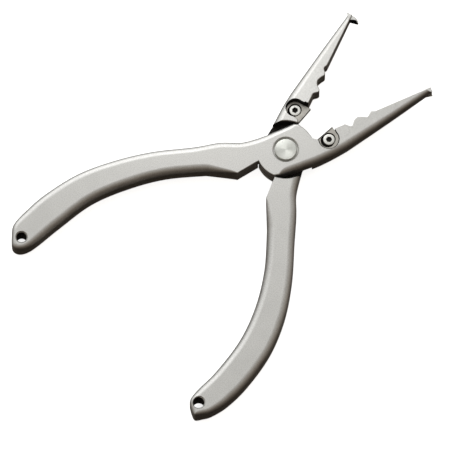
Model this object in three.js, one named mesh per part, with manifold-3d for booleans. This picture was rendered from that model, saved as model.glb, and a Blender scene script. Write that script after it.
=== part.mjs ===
// Fishing pliers: two crossing aluminium levers with a lap joint, a split-ring hook on the rear jaw,
// a pair of replaceable side-shear cutters, a concealed return spring and a lanyard hole in each handle.
//
// Millimetres. The pivot axis is Z, the back faces lie on z = 0 and +Y runs along the middle of the
// pliers towards the jaws. The pliers are modelled sprung open.
//
// Each lever is drawn in the closed pliers with its handle at -X and its jaw at +X. The rear lever is
// drawn the same way and mirrored in X.

import * as THREE from 'three';
import { mergeVertices } from 'three/addons/utils/BufferGeometryUtils.js';
import Module from 'manifold-3d';

const wasm = await Module();
wasm.setup();

// ---- driving dimensions -------------------------------------------------------------------------

const OPENING_DEG = 40;          // angle between the levers when the spring has opened them
const THICKNESS = 10;            // levers, back face to front face
const TIP_THICKNESS = 0.6 * THICKNESS;   // the jaws thin down to this
const HANDLE_LENGTH = 123.2;     // pivot to the handle ends
const JAW_LENGTH = 67.9;         // pivot to the plain tip
const HOOK_JAW_LENGTH = 67.3;    // pivot to the end of the hooked jaw
const LAP_GAP = 0.3;             // between the two lap faces
const JAW_GAP = 0.2;             // between the closed jaws

const BOSS_RADIUS = 12.6;        // largest reach of a boss that turns inside the other lever's shoulder
const LAP_CLEARANCE = 0.3;       // round a boss
const SHOULDER_RADIUS = BOSS_RADIUS + LAP_CLEARANCE;   // step where a lever becomes full thickness
const BOSS_SIDE = 0.77 * BOSS_RADIUS;   // pivot to the outer side of the boss
const BOSS_ARC_END_DEG = 311;    // where the boss's arc gives way to the jaw's shoulder
const BOSS_CORNER = 3.5;         // radius of the boss's upper corner

const GRIP_EDGE = 3.5;           // rounding along the handles
const JAW_EDGE = 3.0;            // rounding along the outside of the jaws, at the root
const HANDLE_END_EDGE = 2.0;     // rounding at the handle ends
const HANDLE_END_BLEND = 14;     // length over which the grip's rounding changes to it
const CRISP_EDGE = 0.4;          // edges that are only broken
const TIP_END_EDGE = 0.4;        // rounding at the very ends of the jaws
const TOP_EDGE = { start: 0.6, corner: 1.0, side: 2.5 };   // rounding along the boss between the jaws

const JAW_ROOT = BOSS_RADIUS + 11.4;   // the teeth start here, past the cutters
const JAW_ROOT_WIDTH = { front: 10.0, rear: 9.0 };
const TIP_WIDTH = 2.0;
const JAW_SHOULDER = [0.722 * BOSS_RADIUS, -0.587 * BOSS_RADIUS];   // where the outside of a jaw meets the lap
const JAW_SWELL = { shoulder: 0.3, middle: 0.7, root: 0.8 };   // past the boss side and the root width

const LANYARD_RADIUS = { front: 2.2, rear: 2.4 };
const LANYARD_CHAMFER = 0.5;

// The jaw faces interlock: each tooth leans across the middle by its reach, positive towards the
// front jaw. They lie between the jaw root and the plain gripping flat.
const TEETH = [
  { y: JAW_ROOT + 5.9, reach: 1.9, half: 2.4 },
  { y: JAW_ROOT + 9.9, reach: -0.7, half: 2.2 },
  { y: JAW_ROOT + 13.7, reach: 0.9, half: 2.0 },
  { y: JAW_ROOT + 16.4, reach: -0.6, half: 1.6 },
];

const HOOK_REACH = 3.8;          // split-ring hook, past the jaw face
const HOOK_DROP = 2.2;           // from the end of the jaw to the underside of the hook
const HOOK_WIDTH = 2.2;          // along the pivot axis
const HOOK_HEIGHT = 0.59 * THICKNESS;   // its middle: nearer the front face than the back
const HOOK_SLOT_CLEARANCE = 0.3; // each side of the hook in the plain tip
const HOOK_SLOT_RUN = 1.6;       // the slot starts this far below the hook

const CUTTER_THICKNESS = 0.29 * THICKNESS;
const SHEAR_HEIGHT = 0.62 * THICKNESS;   // the cutters pass each other at this height
const SHEAR_GAP = 0.2;
const SEAT_GAP = 0.15;           // a cutter, bush, screw or washer to the face that it sits on
const POCKET_GAP = 0.3;          // round a cutter
const CUTTER_BEVEL = 0.8;        // depth of the ground flat along a cutting edge
const BEVEL_SLOPE = 2.2;         // how steeply that flat falls away
const FACE_START = 1.2;          // the jaw face starts this far past a cutter's toe
const HEEL_INSET = 1.2;          // least distance from the middle to a jaw's corner at the heel
const FRONT_CUTTER = {
  screw: [3.4, BOSS_RADIUS + 6.1],
  round: 4.2,                    // radius of the back, about the screw
  heel: [1.3, BOSS_RADIUS + 1.3],
  toe: [-1.3, BOSS_RADIUS + 9.7],
};
const REAR_CUTTER = {
  screw: [4.4, BOSS_RADIUS + 6.2],
  round: 3.8,
  heel: [0.6, BOSS_RADIUS + 1.8],
  toe: [-1.4, BOSS_RADIUS + 9.5],
};

const SCREW_HEAD_RADIUS = 2.6;
const SCREW_HEAD_HEIGHT = 1.5;
const SCREW_SHANK_RADIUS = 1.45;
const SCREW_SOCKET_RADIUS = 1.35;
const SCREW_SOCKET_DEPTH = 1.0;
const SCREW_SINK = 0.35;         // the head lies this far below the cutter's face
const SCREW_HEAD_GAP = 0.15;     // round the head, in the cutter
const CHIP_RECESS_SHIFT = [0.4, -0.8];   // from the screw to a second recess, where chips fall out
const CHIP_RECESS_RIM = 0.35;    // left between that recess and the cutter's round back
const INSERT_RADIUS = 2.2;
const INSERT_LENGTH = 0.23 * THICKNESS;
const INSERT_GAP = 0.1;

const PIVOT_HEAD_RADIUS = 4.75;
const PIVOT_HEAD_HEIGHT = 1.6;
const PIVOT_RING_GAP = 0.55;     // open ring round the pivot's heads
const BARREL_RADIUS = 3.0;
const BARREL_BORE = 1.8;
const BARREL_FLOOR = 3.0;        // solid length at the closed end
const RUNNING_GAP = 0.08;
const BUSH_WALL = 0.8;
const BUSH_GAP = 0.1;
const PIVOT_SCREW_HEAD_HEIGHT = 1.3;
const PIVOT_SCREW_RADIUS = 1.6;
const PIVOT_SCREW_END = 1.1;       // left between the screw and the bottom of the barrel's bore
const SPANNER_HOLE_RADIUS = 0.6;
const SPANNER_HOLE_OFFSET = 2.6;
const SPANNER_HOLE_DEPTH = 0.8;
const DISC_SPRING_THICKNESS = 0.3;
const DISC_SPRING_RISE = 0.3;
const DISC_SPRING_WIDTH = 1.2;
const THRUST_WASHER_WIDTH = 1.8;
const THRUST_WASHER_THICKNESS = 0.6;

const SPRING_RADIUS = 6.7;       // middle of the wire
const SPRING_WIRE = 0.9;
const SPRING_PITCH = 1.05;
const SPRING_TURNS = 2.25;
const SPRING_TANG = 1.4;         // length of each end that stands in a lever
const SPRING_ROOM = 0.25;        // between the spring and its chamber

const HEAD_EDGE = 0.25;          // on the pivot's heads
const SCREW_EDGE = 0.4;          // on the screws
const THROUGH = 1;               // how far a cutting shape runs past the face that it opens

const ROUND_SIDES = 48;
const SMALL_SIDES = 24;
const FILLET_STEPS = 4;
const SLIVER = 0.02;             // facets thinner than this are merged into their neighbours

const MID = THICKNESS / 2;
const FRONT = 1;
const REAR = -1;
const radians = THREE.MathUtils.degToRad;

// ---- solids ------------------------------------------------------------------------------------

function toSolid(geometry) {
  const bare = geometry.clone();
  for (const name of ['normal', 'uv']) bare.deleteAttribute(name);
  const merged = mergeVertices(bare, 1e-5);
  return new wasm.Manifold(new wasm.Mesh({
    numProp: 3,
    vertProperties: new Float32Array(merged.attributes.position.array),
    triVerts: new Uint32Array(merged.index.array),
  }));
}

function toGeometry(solid) {
  const mesh = solid.simplify(SLIVER).getMesh();
  const geometry = new THREE.BufferGeometry();
  geometry.setAttribute('position', new THREE.BufferAttribute(new Float32Array(mesh.vertProperties), 3));
  geometry.setIndex(new THREE.BufferAttribute(new Uint32Array(mesh.triVerts), 1));
  geometry.computeVertexNormals();
  return geometry;
}

// A flat shape raised from one height to another.
function slab(shape, low, high) {
  const options = { depth: high - low, bevelEnabled: false, curveSegments: 16 };
  const geometry = new THREE.ExtrudeGeometry(shape, options);
  return geometry.translate(0, 0, low);
}

// A cylinder or cone standing on z.
function rod(radius, low, high, x = 0, y = 0, sides = ROUND_SIDES, topRadius = radius) {
  const geometry = new THREE.CylinderGeometry(topRadius, radius, high - low, sides);
  return geometry.rotateX(Math.PI / 2).translate(x, y, (low + high) / 2);
}

// A body turned about the pivot axis from (radius, height) corners.
function turned(corners, sides = ROUND_SIDES) {
  const profile = corners.map(([radius, height]) => new THREE.Vector2(radius, height));
  return new THREE.LatheGeometry(profile, sides).rotateX(Math.PI / 2);
}

// A rectangular ring turned about the pivot axis.
function ring(inner, outer, low, high, sides = ROUND_SIDES) {
  return turned([[inner, low], [outer, low], [outer, high], [inner, high], [inner, low]], sides);
}

function cut(solid, ...tools) {
  return tools.reduce((rest, tool) => rest.subtract(toSolid(tool)), solid);
}

function mirrored([x, y], side) {
  return new THREE.Vector2(x * side, y);
}

// ---- lever outline -----------------------------------------------------------------------------

// A point on the handle: along is 0 at the boss and 1 at the handle's end.
function onHandle(along, x) {
  return [x, -(BOSS_RADIUS + along * (HANDLE_LENGTH - BOSS_RADIUS))];
}

// How far the line between the jaw faces leans towards the front jaw at a height y.
function toothLean(y) {
  let lean = 0;
  for (const tooth of TEETH) {
    const away = Math.abs(y - tooth.y) / tooth.half;
    if (away < 1) lean += tooth.reach * (1 - away * away) ** 2;
  }
  return lean;
}

function spline(points, divisions) {
  return new THREE.SplineCurve(points.map(([x, y]) => new THREE.Vector2(x, y))).getPoints(divisions);
}

function arc(x, y, radius, fromDeg, toDeg, divisions) {
  const turn = new THREE.EllipseCurve(x, y, radius, radius, radians(fromDeg), radians(toDeg), toDeg < fromDeg);
  return turn.getPoints(divisions);
}

// Each stretch of the rim is a run of points with the edge rounding at its start and end.
function stretch(points, startEdge, endEdge = startEdge) {
  return points.map((point, index) => {
    const share = index / Math.max(points.length - 1, 1);
    return { point, edge: startEdge + (endEdge - startEdge) * share };
  });
}

// Handle outlines, from the boss down the outer side, round the end and up the inner side.
const GRIPS = {
  front: {
    outer: [[0.02, -11.2], [0.1, -15.2], [0.2, -18.1], [0.35, -23.6], [0.5, -26.9], [0.65, -28.0],
      [0.8, -25.6], [0.9, -22.1], [0.96, -18.8]],
    end: [[0.985, -14.6], [1, -10.4], [0.985, -7.7]],
    inner: [[0.95, -6.7], [0.9, -7.5], [0.8, -10.5], [0.65, -14.3], [0.5, -14.1], [0.35, -11.4],
      [0.2, -5.5]],
    notchFoot: [0.095, 0.9],
    notch: -0.3,
    hole: [-12.0, -118.2],
  },
  rear: {
    outer: [[0.02, -11.9], [0.1, -16.0], [0.2, -20.3], [0.35, -26.8], [0.5, -31.0], [0.65, -31.9],
      [0.8, -29.1], [0.9, -25.2], [0.96, -20.9]],
    end: [[0.985, -17.8], [1, -14.8], [0.98, -12.0]],
    inner: [[0.95, -10.1], [0.9, -11.0], [0.8, -14.7], [0.65, -17.9], [0.5, -17.5], [0.35, -13.9],
      [0.2, -7.3]],
    notchFoot: [0.095, -1.5],
    notch: -0.8,
    hole: [-14.0, -117.6],
  },
};

function gripRim(grip) {
  const outerKnots = [...grip.outer, ...grip.end, ...grip.inner].map(([along, x]) => onHandle(along, x));
  const foot = onHandle(...grip.notchFoot);
  const side = stretch(spline([[-BOSS_SIDE, -4], ...outerKnots], 84), JAW_EDGE, GRIP_EDGE).map(endBlended);
  const inner = stretch(spline([outerKnots.at(-1), foot], 4).slice(1), GRIP_EDGE, CRISP_EDGE);
  const notch = stretch([new THREE.Vector2(grip.notch, -BOSS_RADIUS)], CRISP_EDGE);
  return [...side, ...inner, ...notch];
}

function endBlended({ point, edge }) {
  const share = THREE.MathUtils.smoothstep(point.y, -HANDLE_LENGTH, HANDLE_END_BLEND - HANDLE_LENGTH);
  return { point, edge: HANDLE_END_EDGE + (edge - HANDLE_END_EDGE) * share };
}

function bossArcRim(grip) {
  const start = 270 + THREE.MathUtils.radToDeg(Math.asin(grip.notch / BOSS_RADIUS));
  return stretch(arc(0, 0, BOSS_RADIUS, start, BOSS_ARC_END_DEG, 8).slice(1), CRISP_EDGE, CRISP_EDGE);
}

function jawY(along, length) {
  return JAW_ROOT + along * (length - JAW_ROOT);
}

function outerJawRim(rootWidth, length) {
  const root = rootWidth + JAW_SWELL.root;
  const side = spline([JAW_SHOULDER, [BOSS_SIDE + JAW_SWELL.shoulder, -2], [BOSS_SIDE + JAW_SWELL.middle, 4],
    [root, JAW_ROOT - 14], [root - 0.2, JAW_ROOT - 7], [rootWidth, JAW_ROOT]], 24);
  const blade = spline([[rootWidth, JAW_ROOT], [(rootWidth + TIP_WIDTH) / 2, jawY(0.5, length)],
    [TIP_WIDTH, jawY(0.96, length)], [TIP_WIDTH * 0.85, length - 0.7], [TIP_WIDTH * 0.45, length]], 16);
  const shoulder = stretch(side, CRISP_EDGE, JAW_EDGE).map(eased);
  return [...shoulder, ...stretch(blade.slice(1), JAW_EDGE, TIP_END_EDGE)];
}

// The rounding grows quickly from the crisp lap corner to its full size.
function eased(entry) {
  const rise = THREE.MathUtils.smoothstep(entry.point.y, -8.5, -4);
  return { point: entry.point, edge: CRISP_EDGE + (JAW_EDGE - CRISP_EDGE) * rise };
}

function jawFaceRim(cutter, length, side) {
  const face = [];
  const start = JAW_ROOT + 1;
  const lastTooth = TEETH.at(-1);
  const flat = lastTooth.y + lastTooth.half;
  face.push([JAW_GAP / 2, length]);
  const steps = 40;
  for (let step = 0; step <= steps; step += 1) {
    const y = flat + (start - flat) * step / steps;
    face.push([JAW_GAP / 2 + side * toothLean(y), y]);
  }
  face.push([JAW_GAP / 2, cutter.toe[1] + FACE_START]);
  face.push([Math.max(cutter.heel[0], HEEL_INSET), cutter.heel[1]]);
  return stretch(face.map(([x, y]) => new THREE.Vector2(x, y)), CRISP_EDGE);
}

function bossTopRim() {
  const cornerX = -BOSS_SIDE + BOSS_CORNER;
  const cornerY = Math.sqrt((BOSS_RADIUS - BOSS_CORNER + 0.1) ** 2 - cornerX ** 2);
  const corner = arc(cornerX, cornerY, BOSS_CORNER, 105, 180, 7);
  const top = spline([[0.2, BOSS_RADIUS], [-BOSS_RADIUS / 3, BOSS_RADIUS - 1], corner[0].toArray()], 6);
  const { start, corner: bend, side } = TOP_EDGE;
  return [...stretch(top.slice(0, -1), start, bend), ...stretch(corner, bend, side)];
}

function leverRim(kind) {
  const side = kind === 'front' ? FRONT : REAR;
  const length = kind === 'front' ? JAW_LENGTH : HOOK_JAW_LENGTH;
  const cutter = kind === 'front' ? FRONT_CUTTER : REAR_CUTTER;
  const rim = [
    ...gripRim(GRIPS[kind]),
    ...bossArcRim(GRIPS[kind]),
    ...outerJawRim(JAW_ROOT_WIDTH[kind], length),
    ...jawFaceRim(cutter, length, side),
    ...bossTopRim(),
  ];
  return rim.map(({ point, edge }) => ({ point: mirrored([point.x, point.y], side), edge }));
}

// ---- levers ------------------------------------------------------------------------------------

// Half the lever's thickness at a height y: full to the jaw root, then thinning to the tip.
function halfThickness(y) {
  const along = THREE.MathUtils.clamp((y - JAW_ROOT / 2) / (JAW_LENGTH - JAW_ROOT / 2), 0, 1);
  return MID + (TIP_THICKNESS - THICKNESS) / 2 * along;
}

// The rim raised to full thickness, with every edge rounded by the amount that its rim point names.
function softSlab(rim) {
  const shape = new THREE.Shape(rim.map((entry) => entry.point));
  const levels = 2 * FILLET_STEPS + 1;
  const geometry = new THREE.ExtrudeGeometry(shape, { depth: levels, steps: levels, bevelEnabled: false });
  const turn = THREE.ShapeUtils.area(rim.map((entry) => entry.point)) > 0 ? 1 : -1;
  const sides = rim.map((entry, index) => {
    const before = rim.at(index - 1).point;
    const after = rim[(index + 1) % rim.length].point;
    const first = entry.point.clone().sub(before).normalize();
    const second = after.clone().sub(entry.point).normalize();
    const run = first.add(second).normalize();
    return { point: entry.point, edge: entry.edge, outward: new THREE.Vector2(run.y * turn, -run.x * turn) };
  });
  const nearest = (x, y) => sides.reduce((best, entry) => {
    const away = Math.hypot(entry.point.x - x, entry.point.y - y);
    return away < best.away ? { away, entry } : best;
  }, { away: Infinity }).entry;
  const place = geometry.attributes.position;
  for (let index = 0; index < place.count; index += 1) {
    const x = place.getX(index);
    const y = place.getY(index);
    const level = Math.round(place.getZ(index));
    const { outward, edge } = nearest(x, y);
    const lower = level <= FILLET_STEPS;
    const swing = (lower ? level : levels - level) / FILLET_STEPS * Math.PI / 2;
    const inset = edge * (1 - Math.sin(swing));
    const rise = halfThickness(y) - edge * (1 - Math.cos(swing));
    place.setXYZ(index, x - outward.x * inset, y - outward.y * inset, MID + (lower ? -rise : rise));
  }
  return toSolid(geometry);
}

// The outline of a cutter, grown by a gap: a round back and a straight cutting edge.
function cutterShape(cutter, side, grow = 0) {
  const [screwX, screwY] = cutter.screw;
  const radius = cutter.round + grow;
  const edge = new THREE.Vector2(cutter.toe[0] - cutter.heel[0], cutter.toe[1] - cutter.heel[1]).normalize();
  const heel = [cutter.heel[0] - edge.x * grow - edge.y * grow, cutter.heel[1] - edge.y * grow];
  const toe = [cutter.toe[0] + edge.x * grow - edge.y * grow, cutter.toe[1] + edge.y * grow + grow / 2];
  const back = arc(screwX, screwY, radius, -105, 105, 18).map((point) => [point.x, point.y]);
  return new THREE.Shape([heel, ...back, toe].map((point) => mirrored(point, side)));
}

// The space that the other jaw's cutter sweeps into as the pliers close.
function cutterReliefShape(cutter, side) {
  const room = POCKET_GAP + JAW_GAP;
  const [heelX, heelY] = cutter.heel;
  const [toeX, toeY] = cutter.toe;
  const top = toeY + room + POCKET_GAP;
  const corners = [[-heelX - room, heelY - room], [-heelX + room, heelY - room], [-toeX + room, toeY],
    [-toeX + room, top], [-heelX - room, top]];
  return new THREE.Shape(corners.map((corner) => mirrored(corner, side)));
}

function screwSeat(cutter, side, floor) {
  const [x, y] = cutter.screw;
  const depth = INSERT_LENGTH + INSERT_GAP;
  return rod(INSERT_RADIUS + INSERT_GAP, floor - depth, floor + 0.5, x * side, y, SMALL_SIDES);
}

function lanyardHole([x, y], radius, side) {
  const wide = radius + LANYARD_CHAMFER;
  return [
    rod(radius, -THROUGH, THICKNESS + THROUGH, x * side, y, SMALL_SIDES),
    rod(radius, THICKNESS - LANYARD_CHAMFER, THICKNESS + 0.01, x * side, y, SMALL_SIDES, wide),
    rod(wide, -0.01, LANYARD_CHAMFER, x * side, y, SMALL_SIDES, radius),
  ];
}

const SPRING_COIL_HEIGHT = SPRING_TURNS * SPRING_PITCH + SPRING_WIRE;
const CHAMBER_HALF = SPRING_COIL_HEIGHT / 2 + SPRING_ROOM;
const CHAMBER_INNER = SPRING_RADIUS - SPRING_WIRE / 2 - SPRING_ROOM;
const CHAMBER_OUTER = SPRING_RADIUS + SPRING_WIRE / 2 + SPRING_ROOM;
const BUSH_OUTER = BARREL_RADIUS + RUNNING_GAP + BUSH_WALL;
const WASHER_INNER = BARREL_RADIUS + 2 * RUNNING_GAP;
const WASHER_OUTER = WASHER_INNER + THRUST_WASHER_WIDTH;
const WASHER_RECESS = THRUST_WASHER_THICKNESS / 2 + SEAT_GAP;
const REAR_COUNTERBORE = PIVOT_SCREW_HEAD_HEIGHT + DISC_SPRING_THICKNESS + DISC_SPRING_RISE + 2 * SEAT_GAP;

// Where the spring's tangs stand: the lower one in the rear lever, the upper one in the front lever.
const LOWER_TANG_DEG = 200;
const UPPER_TANG_DEG = LOWER_TANG_DEG + 360 * SPRING_TURNS;

function tangHole(degrees, low, high) {
  const x = SPRING_RADIUS * Math.cos(radians(degrees));
  const y = SPRING_RADIUS * Math.sin(radians(degrees));
  return rod(SPRING_WIRE / 2 + SPRING_ROOM, low, high, x, y, SMALL_SIDES);
}

function frontLever() {
  const floor = SHEAR_HEIGHT + SHEAR_GAP / 2 - SEAT_GAP;
  const lapFace = MID + LAP_GAP / 2;
  const headSeat = THICKNESS - PIVOT_HEAD_HEIGHT - SEAT_GAP;
  const slotHalf = HOOK_WIDTH / 2 + HOOK_SLOT_CLEARANCE;
  const hookFoot = HOOK_JAW_LENGTH - HOOK_DROP;
  const rearFloor = SHEAR_HEIGHT - SHEAR_GAP / 2 - CUTTER_THICKNESS;
  const slotRun = JAW_LENGTH - hookFoot + 2 * HOOK_SLOT_RUN;
  const hookSlot = new THREE.BoxGeometry(6 * TIP_WIDTH, slotRun, 2 * slotHalf);
  hookSlot.translate(0, hookFoot - HOOK_SLOT_RUN + slotRun / 2, HOOK_HEIGHT);
  return cut(
    softSlab(leverRim('front')),
    rod(SHOULDER_RADIUS, -THROUGH, lapFace),
    rod(BUSH_OUTER + BUSH_GAP, lapFace - THROUGH, headSeat + THROUGH),
    rod(PIVOT_HEAD_RADIUS + PIVOT_RING_GAP, headSeat, THICKNESS + THROUGH),
    ring(CHAMBER_INNER, CHAMBER_OUTER, lapFace - THROUGH, MID + CHAMBER_HALF),
    rod(WASHER_OUTER + BUSH_GAP, lapFace - THROUGH, MID + WASHER_RECESS),
    tangHole(UPPER_TANG_DEG + OPENING_DEG / 2, lapFace, MID + CHAMBER_HALF + SPRING_TANG),
    slab(cutterShape(FRONT_CUTTER, FRONT, POCKET_GAP), floor, THICKNESS + THROUGH),
    slab(cutterReliefShape(REAR_CUTTER, FRONT), rearFloor - POCKET_GAP, floor + 0.01),
    screwSeat(FRONT_CUTTER, FRONT, floor),
    hookSlot,
    ...lanyardHole(GRIPS.front.hole, LANYARD_RADIUS.front, FRONT),
  );
}

function hook() {
  const end = HOOK_JAW_LENGTH;
  const foot = end - HOOK_DROP;
  const shape = new THREE.Shape();
  shape.moveTo(TIP_WIDTH * 0.5, foot);
  shape.lineTo(TIP_WIDTH * 0.5, end - 0.3);
  shape.quadraticCurveTo(0.2, end, -0.8, end - 0.1);
  shape.quadraticCurveTo(-2.9, end - 0.3, -HOOK_REACH, foot + 0.1);
  shape.lineTo(-HOOK_REACH + 0.5, foot - 0.1);
  shape.quadraticCurveTo(-2.4, foot + 0.5, -1.2, foot + 0.2);
  shape.quadraticCurveTo(-0.4, foot, 0.2, foot - 1.2);
  const points = shape.getPoints(6).map((point) => mirrored([point.x, point.y], REAR));
  return slab(new THREE.Shape(points), HOOK_HEIGHT - HOOK_WIDTH / 2, HOOK_HEIGHT + HOOK_WIDTH / 2);
}

function rearLever() {
  const floor = SHEAR_HEIGHT - SHEAR_GAP / 2 - CUTTER_THICKNESS - SEAT_GAP;
  const lapFace = MID - LAP_GAP / 2;
  const blank = softSlab(leverRim('rear')).add(toSolid(hook()));
  return cut(
    blank,
    rod(SHOULDER_RADIUS, lapFace, THICKNESS + THROUGH),
    rod(BUSH_OUTER + BUSH_GAP, REAR_COUNTERBORE - THROUGH, lapFace + THROUGH),
    rod(PIVOT_HEAD_RADIUS + PIVOT_RING_GAP, -THROUGH, REAR_COUNTERBORE),
    ring(CHAMBER_INNER, CHAMBER_OUTER, MID - CHAMBER_HALF, lapFace + THROUGH),
    rod(WASHER_OUTER + BUSH_GAP, MID - WASHER_RECESS, lapFace + THROUGH),
    tangHole(LOWER_TANG_DEG - OPENING_DEG / 2, MID - CHAMBER_HALF - SPRING_TANG, lapFace),
    slab(cutterShape(REAR_CUTTER, REAR, POCKET_GAP), floor, THICKNESS + THROUGH),
    slab(cutterReliefShape(FRONT_CUTTER, REAR), SHEAR_HEIGHT - SHEAR_GAP, THICKNESS + THROUGH),
    screwSeat(REAR_CUTTER, REAR, floor),
    ...lanyardHole(GRIPS.rear.hole, LANYARD_RADIUS.rear, REAR),
  );
}

// ---- cutters and their screws --------------------------------------------------------------------

function cutterPlate(cutter, side, low) {
  const high = low + CUTTER_THICKNESS;
  const [x, y] = cutter.screw;
  const recess = high - SCREW_SINK - SCREW_HEAD_HEIGHT - SEAT_GAP;
  const [chipX, chipY] = CHIP_RECESS_SHIFT;
  const chipRadius = cutter.round - CHIP_RECESS_RIM - Math.hypot(chipX, chipY);
  return cut(
    toSolid(slab(cutterShape(cutter, side), low, high)),
    rod(SCREW_HEAD_RADIUS + SCREW_HEAD_GAP, recess, high + THROUGH, x * side, y, SMALL_SIDES),
    rod(chipRadius, recess, high + THROUGH, (x + chipX) * side, y + chipY, SMALL_SIDES),
    rod(SCREW_SHANK_RADIUS + INSERT_GAP, low - THROUGH, recess + THROUGH, x * side, y, SMALL_SIDES),
    bevelTool(cutter, side, low, high),
  );
}

// Grinds the face of a cutter that is away from the shear plane back along the cutting edge.
function bevelTool(cutter, side, low, high) {
  const outer = side === FRONT ? high : low;
  const shape = new THREE.Shape([new THREE.Vector2(-1, 0), new THREE.Vector2(CUTTER_BEVEL, 0),
    new THREE.Vector2(-1, side * -BEVEL_SLOPE * CUTTER_BEVEL)]);
  const dx = cutter.toe[0] - cutter.heel[0];
  const dy = cutter.toe[1] - cutter.heel[1];
  const length = Math.hypot(dx, dy) + 6;
  const tool = new THREE.ExtrudeGeometry(shape, { depth: length, bevelEnabled: false });
  tool.translate(0, 0, -length / 2).rotateX(Math.PI / 2);
  tool.rotateZ(Math.atan2(dy, dx) - Math.PI / 2);
  tool.translate((cutter.heel[0] + cutter.toe[0]) / 2, (cutter.heel[1] + cutter.toe[1]) / 2, outer);
  if (side === FRONT) return tool;
  return mirrorX(tool);
}

function mirrorX(geometry) {
  const flipped = geometry.clone().scale(-1, 1, 1);
  const place = flipped.attributes.position;
  for (let corner = 0; corner < place.count; corner += 3) {
    const first = new THREE.Vector3().fromBufferAttribute(place, corner);
    const last = new THREE.Vector3().fromBufferAttribute(place, corner + 2);
    place.setXYZ(corner, last.x, last.y, last.z);
    place.setXYZ(corner + 2, first.x, first.y, first.z);
  }
  return flipped;
}

function screwBody(cutter, side, plateLow) {
  const [x, y] = cutter.screw;
  const headTop = plateLow + CUTTER_THICKNESS - SCREW_SINK;
  const headFoot = headTop - SCREW_HEAD_HEIGHT;
  const tip = plateLow - SEAT_GAP - INSERT_LENGTH;
  const profile = [[0, tip], [SCREW_SHANK_RADIUS - SCREW_EDGE, tip], [SCREW_SHANK_RADIUS, tip + SCREW_EDGE],
    [SCREW_SHANK_RADIUS, headFoot], [SCREW_HEAD_RADIUS, headFoot], [SCREW_HEAD_RADIUS, headTop - SCREW_EDGE],
    [SCREW_HEAD_RADIUS - SCREW_EDGE, headTop], [0, headTop]];
  const socket = rod(SCREW_SOCKET_RADIUS, headTop - SCREW_SOCKET_DEPTH, headTop + THROUGH, 0, 0, 6);
  return toGeometry(cut(toSolid(turned(profile, SMALL_SIDES)), socket)).translate(x * side, y, 0);
}

function insertBody(cutter, side, plateLow) {
  const [x, y] = cutter.screw;
  const top = plateLow - SEAT_GAP;
  return ring(SCREW_SHANK_RADIUS + INSERT_GAP, INSERT_RADIUS, top - INSERT_LENGTH, top, SMALL_SIDES)
    .translate(x * side, y, 0);
}

// ---- pivot -------------------------------------------------------------------------------------

function pivotBarrel() {
  const seat = THICKNESS - PIVOT_HEAD_HEIGHT;
  const end = PIVOT_SCREW_HEAD_HEIGHT + SEAT_GAP;
  const floor = THICKNESS - BARREL_FLOOR;
  return turned([[0, floor], [BARREL_BORE, floor], [BARREL_BORE, end],
    [BARREL_RADIUS, end], [BARREL_RADIUS, seat], [PIVOT_HEAD_RADIUS, seat],
    [PIVOT_HEAD_RADIUS, THICKNESS - HEAD_EDGE],
    [PIVOT_HEAD_RADIUS - HEAD_EDGE, THICKNESS], [0, THICKNESS]]);
}

function pivotScrew() {
  const head = PIVOT_SCREW_HEAD_HEIGHT;
  const end = THICKNESS - BARREL_FLOOR - PIVOT_SCREW_END;
  const body = toSolid(turned([[0, 0], [PIVOT_HEAD_RADIUS - HEAD_EDGE, 0], [PIVOT_HEAD_RADIUS, HEAD_EDGE],
    [PIVOT_HEAD_RADIUS, head], [PIVOT_SCREW_RADIUS, head], [PIVOT_SCREW_RADIUS, end - SCREW_EDGE],
    [PIVOT_SCREW_RADIUS - SCREW_EDGE, end], [0, end]]));
  const holes = [1, -1].map((hand) => rod(SPANNER_HOLE_RADIUS, -THROUGH, SPANNER_HOLE_DEPTH,
    hand * SPANNER_HOLE_OFFSET, 0, SMALL_SIDES));
  return toGeometry(cut(body, ...holes));
}

function frontBush() {
  const low = MID + WASHER_RECESS + SEAT_GAP;
  const high = THICKNESS - PIVOT_HEAD_HEIGHT - 2 * SEAT_GAP;
  return ring(BARREL_RADIUS + RUNNING_GAP, BUSH_OUTER, low, high);
}

function rearBush() {
  const low = REAR_COUNTERBORE + SEAT_GAP;
  const high = MID - WASHER_RECESS - SEAT_GAP;
  return ring(BARREL_RADIUS + RUNNING_GAP, BUSH_OUTER, low, high);
}

function thrustWasher() {
  const half = THRUST_WASHER_THICKNESS / 2;
  return ring(WASHER_INNER, WASHER_OUTER, MID - half, MID + half);
}

// A shallow cone that keeps the joint snug.
function discSpring() {
  const inner = WASHER_INNER;
  const outer = inner + DISC_SPRING_WIDTH;
  const low = PIVOT_SCREW_HEAD_HEIGHT + SEAT_GAP;
  const rise = DISC_SPRING_RISE;
  const thick = DISC_SPRING_THICKNESS;
  return turned([[inner, low], [outer, low + rise], [outer, low + rise + thick], [inner, low + thick],
    [inner, low]]);
}

class SpringPath extends THREE.Curve {
  getPoint(share, target = new THREE.Vector3()) {
    const coil = SPRING_TURNS * 2 * Math.PI * SPRING_RADIUS;
    const whole = coil + 2 * SPRING_TANG;
    const run = share * whole - SPRING_TANG;
    const turn = THREE.MathUtils.clamp(run / coil, 0, 1);
    const angle = radians(LOWER_TANG_DEG + 360 * SPRING_TURNS * turn);
    const spill = run - turn * coil;
    const height = MID + (turn - 0.5) * SPRING_TURNS * SPRING_PITCH + spill;
    return target.set(SPRING_RADIUS * Math.cos(angle), SPRING_RADIUS * Math.sin(angle), height);
  }
}

function returnSpring() {
  const section = new THREE.Shape(arc(0, 0, SPRING_WIRE / 2, 0, 360, 8).slice(0, -1));
  return new THREE.ExtrudeGeometry(section, { steps: 96, bevelEnabled: false, extrudePath: new SpringPath() });
}

// ---- assembly ----------------------------------------------------------------------------------

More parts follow.
